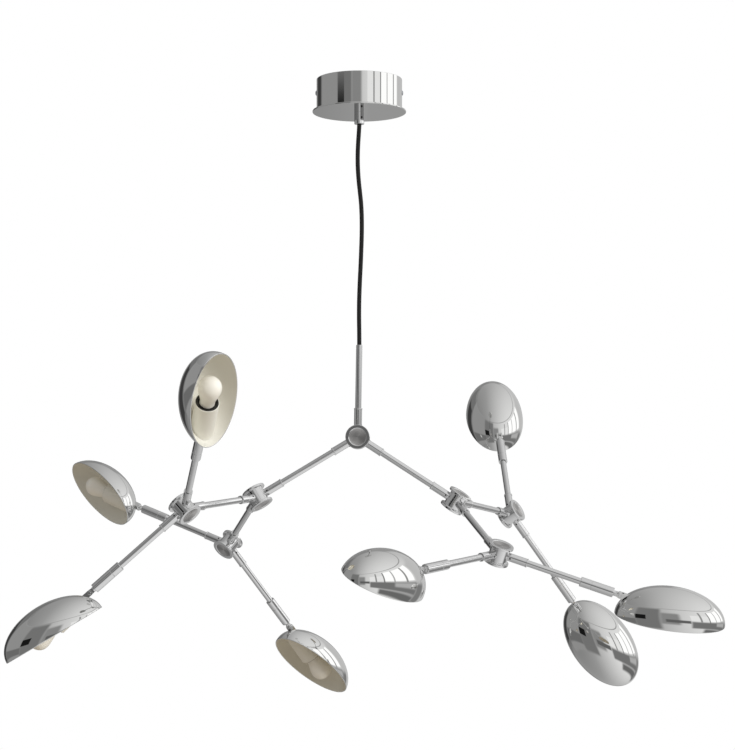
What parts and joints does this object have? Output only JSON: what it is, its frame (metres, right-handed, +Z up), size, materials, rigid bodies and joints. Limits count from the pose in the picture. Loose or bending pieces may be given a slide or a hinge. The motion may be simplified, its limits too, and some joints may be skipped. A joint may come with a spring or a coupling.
{
  "type": "multi arm chandelier",
  "caption": "Hanging light with a branching frame of tubes and turning spool hubs, and shell-shaped lamp heads that swivel and tilt.",
  "frame": {"origin": "centre of the ceiling bracket's upper face, in the ceiling plane, between the two ceiling screws", "axes": "+Z up into the ceiling, +X to the right along the bracket, -Y towards the viewer in front"},
  "size_m": [0.8694, 0.6953, 0.8111],
  "materials": {
    "canopy_chrome": "mirror polished",
    "frame_chrome": "polished",
    "shade_chrome": "mirror polished outside, cream paint inside",
    "cream_paint": "satin cream paint, black holder ring",
    "frosted_glass": "frosted",
    "textile_cord": "woven textile",
    "plain_steel": "zinc plated",
    "terminal_plastic": "moulded"
  },
  "bodies": {
    "canopy": {"canopy_cup": "canopy_chrome", "canopy_plate": "canopy_chrome", "ceiling_bracket": "plain_steel", "terminal_block": "terminal_plastic", "canopy_screws": "plain_steel", "cord_gland": "frame_chrome", "power_cord": "textile_cord", "stem": "frame_chrome"},
    "centre": {"hub_centre": "frame_chrome", "main_arms": "frame_chrome"},
    "left": {"hub_left": "frame_chrome", "arm_left_front": "frame_chrome", "arm_left_back": "frame_chrome"},
    "right": {"hub_right": "frame_chrome", "arm_right_back": "frame_chrome", "arm_right_front": "frame_chrome"},
    "left_front": {"hub_left_front": "frame_chrome", "head_arm_1": "frame_chrome", "head_arm_3": "frame_chrome"},
    "left_back": {"hub_left_back": "frame_chrome", "head_arm_2": "frame_chrome", "head_arm_4": "frame_chrome"},
    "right_back": {"hub_right_back": "frame_chrome", "head_arm_5": "frame_chrome", "head_arm_7": "frame_chrome"},
    "right_front": {"hub_right_front": "frame_chrome", "head_arm_6": "frame_chrome", "head_arm_8": "frame_chrome"},
    "sleeve_1": {"end_sleeve_1": "frame_chrome"},
    "head_1": {"shade_1": "shade_chrome", "lampholder_1": "cream_paint", "bulb_1": "frosted_glass"},
    "sleeve_2": {"end_sleeve_2": "frame_chrome"},
    "head_2": {"shade_2": "shade_chrome", "lampholder_2": "cream_paint", "bulb_2": "frosted_glass"},
    "sleeve_3": {"end_sleeve_3": "frame_chrome"},
    "head_3": {"shade_3": "shade_chrome", "lampholder_3": "cream_paint", "bulb_3": "frosted_glass"},
    "sleeve_4": {"end_sleeve_4": "frame_chrome"},
    "head_4": {"shade_4": "shade_chrome", "lampholder_4": "cream_paint", "bulb_4": "frosted_glass"},
    "sleeve_5": {"end_sleeve_5": "frame_chrome"},
    "head_5": {"shade_5": "shade_chrome", "lampholder_5": "cream_paint", "bulb_5": "frosted_glass"},
    "sleeve_6": {"end_sleeve_6": "frame_chrome"},
    "head_6": {"shade_6": "shade_chrome", "lampholder_6": "cream_paint", "bulb_6": "frosted_glass"},
    "sleeve_7": {"end_sleeve_7": "frame_chrome"},
    "head_7": {"shade_7": "shade_chrome", "lampholder_7": "cream_paint", "bulb_7": "frosted_glass"},
    "sleeve_8": {"end_sleeve_8": "frame_chrome"},
    "head_8": {"shade_8": "shade_chrome", "lampholder_8": "cream_paint", "bulb_8": "frosted_glass"}
  },
  "joints": [
    {"name": "frame_turn", "type": "hinge", "parent": "canopy", "child": "centre", "pos_m": [-0.00206, 0, -0.45798], "axis": [-0.0175, 0, -0.9998], "range_deg": [-170, 170]},
    {"name": "left_hub_turn", "type": "hinge", "parent": "centre", "child": "left", "pos_m": [-0.13062, 0.00222, -0.53524], "axis": [-0.857, 0.0148, -0.515], "range_deg": [-25, 25]},
    {"name": "right_hub_turn", "type": "hinge", "parent": "centre", "child": "right", "pos_m": [0.12372, -0.00222, -0.53968], "axis": [0.8385, -0.0148, -0.5446], "range_deg": [-25, 25]},
    {"name": "left_front_hub_turn", "type": "hinge", "parent": "left", "child": "left_front", "pos_m": [-0.21215, -0.12295, -0.54878], "axis": [-0.5436, -0.8345, -0.0903], "range_deg": [-30, 30]},
    {"name": "left_back_hub_turn", "type": "hinge", "parent": "left", "child": "left_back", "pos_m": [-0.17764, 0.12962, -0.59895], "axis": [-0.3135, 0.8493, -0.4248], "range_deg": [-30, 30]},
    {"name": "right_back_hub_turn", "type": "hinge", "parent": "right", "child": "right_back", "pos_m": [0.20354, 0.12347, -0.55791], "axis": [0.5321, 0.8379, -0.1216], "range_deg": [-30, 30]},
    {"name": "right_front_hub_turn", "type": "hinge", "parent": "right", "child": "right_front", "pos_m": [0.16969, -0.13013, -0.60314], "axis": [0.3064, -0.8527, -0.4231], "range_deg": [-30, 30]},
    {"name": "swivel_1", "type": "hinge", "parent": "left_front", "child": "sleeve_1", "pos_m": [-0.18112, -0.24502, -0.46017], "axis": [0.2015, -0.7927, 0.5754], "range_deg": [-90, 90]},
    {"name": "tilt_1", "type": "hinge", "parent": "sleeve_1", "child": "head_1", "pos_m": [-0.18112, -0.24502, -0.46017], "axis": [0.6088, 0.5616, 0.5604], "range_deg": [-30, 30]},
    {"name": "swivel_2", "type": "hinge", "parent": "left_back", "child": "sleeve_2", "pos_m": [-0.30629, 0.19784, -0.54887], "axis": [-0.8354, 0.443, 0.3252], "range_deg": [-90, 90]},
    {"name": "tilt_2", "type": "hinge", "parent": "sleeve_2", "child": "head_2", "pos_m": [-0.30629, 0.19784, -0.54887], "axis": [-0.0254, -0.6223, 0.7824], "range_deg": [-30, 30]},
    {"name": "swivel_3", "type": "hinge", "parent": "left_front", "child": "sleeve_3", "pos_m": [-0.32689, -0.1294, -0.6513], "axis": [-0.7451, -0.0418, -0.6657], "range_deg": [-90, 90]},
    {"name": "tilt_3", "type": "hinge", "parent": "sleeve_3", "child": "head_3", "pos_m": [-0.32689, -0.1294, -0.6513], "axis": [0.0555, -0.9985, 0.0006], "range_deg": [-30, 30]},
    {"name": "swivel_4", "type": "hinge", "parent": "left_back", "child": "sleeve_4", "pos_m": [-0.09725, 0.19218, -0.71445], "axis": [0.522, 0.4063, -0.75], "range_deg": [-90, 90]},
    {"name": "tilt_4", "type": "hinge", "parent": "sleeve_4", "child": "head_4", "pos_m": [-0.09725, 0.19218, -0.71445], "axis": [-0.6905, 0.7175, -0.0919], "range_deg": [-30, 30]},
    {"name": "swivel_5", "type": "hinge", "parent": "right_back", "child": "sleeve_5", "pos_m": [0.1962, 0.23534, -0.45234], "axis": [-0.0477, 0.7265, 0.6856], "range_deg": [-90, 90]},
    {"name": "tilt_5", "type": "hinge", "parent": "sleeve_5", "child": "head_5", "pos_m": [0.1962, 0.23534, -0.45234], "axis": [-0.9987, -0.0467, -0.0199], "range_deg": [-30, 30]},
    {"name": "swivel_6", "type": "hinge", "parent": "right_front", "child": "sleeve_6", "pos_m": [0.07173, -0.24794, -0.61865], "axis": [-0.6361, -0.765, -0.1007], "range_deg": [-90, 90]},
    {"name": "tilt_6", "type": "hinge", "parent": "sleeve_6", "child": "head_6", "pos_m": [0.07173, -0.24794, -0.61865], "axis": [0.7002, -0.5175, -0.4919], "range_deg": [-30, 30]},
    {"name": "swivel_7", "type": "hinge", "parent": "right_back", "child": "sleeve_7", "pos_m": [0.29282, 0.14063, -0.68221], "axis": [0.5798, 0.1115, -0.8071], "range_deg": [-90, 90]},
    {"name": "tilt_7", "type": "hinge", "parent": "sleeve_7", "child": "head_7", "pos_m": [0.29282, 0.14063, -0.68221], "axis": [0.8026, 0.0926, 0.5893], "range_deg": [-30, 30]},
    {"name": "swivel_8", "type": "hinge", "parent": "right_front", "child": "sleeve_8", "pos_m": [0.31484, -0.14363, -0.65278], "axis": [0.9425, -0.0877, -0.3224], "range_deg": [-90, 90]},
    {"name": "tilt_8", "type": "hinge", "parent": "sleeve_8", "child": "head_8", "pos_m": [0.31484, -0.14363, -0.65278], "axis": [0.1855, 0.9399, 0.2867], "range_deg": [-30, 30]}
  ]
}
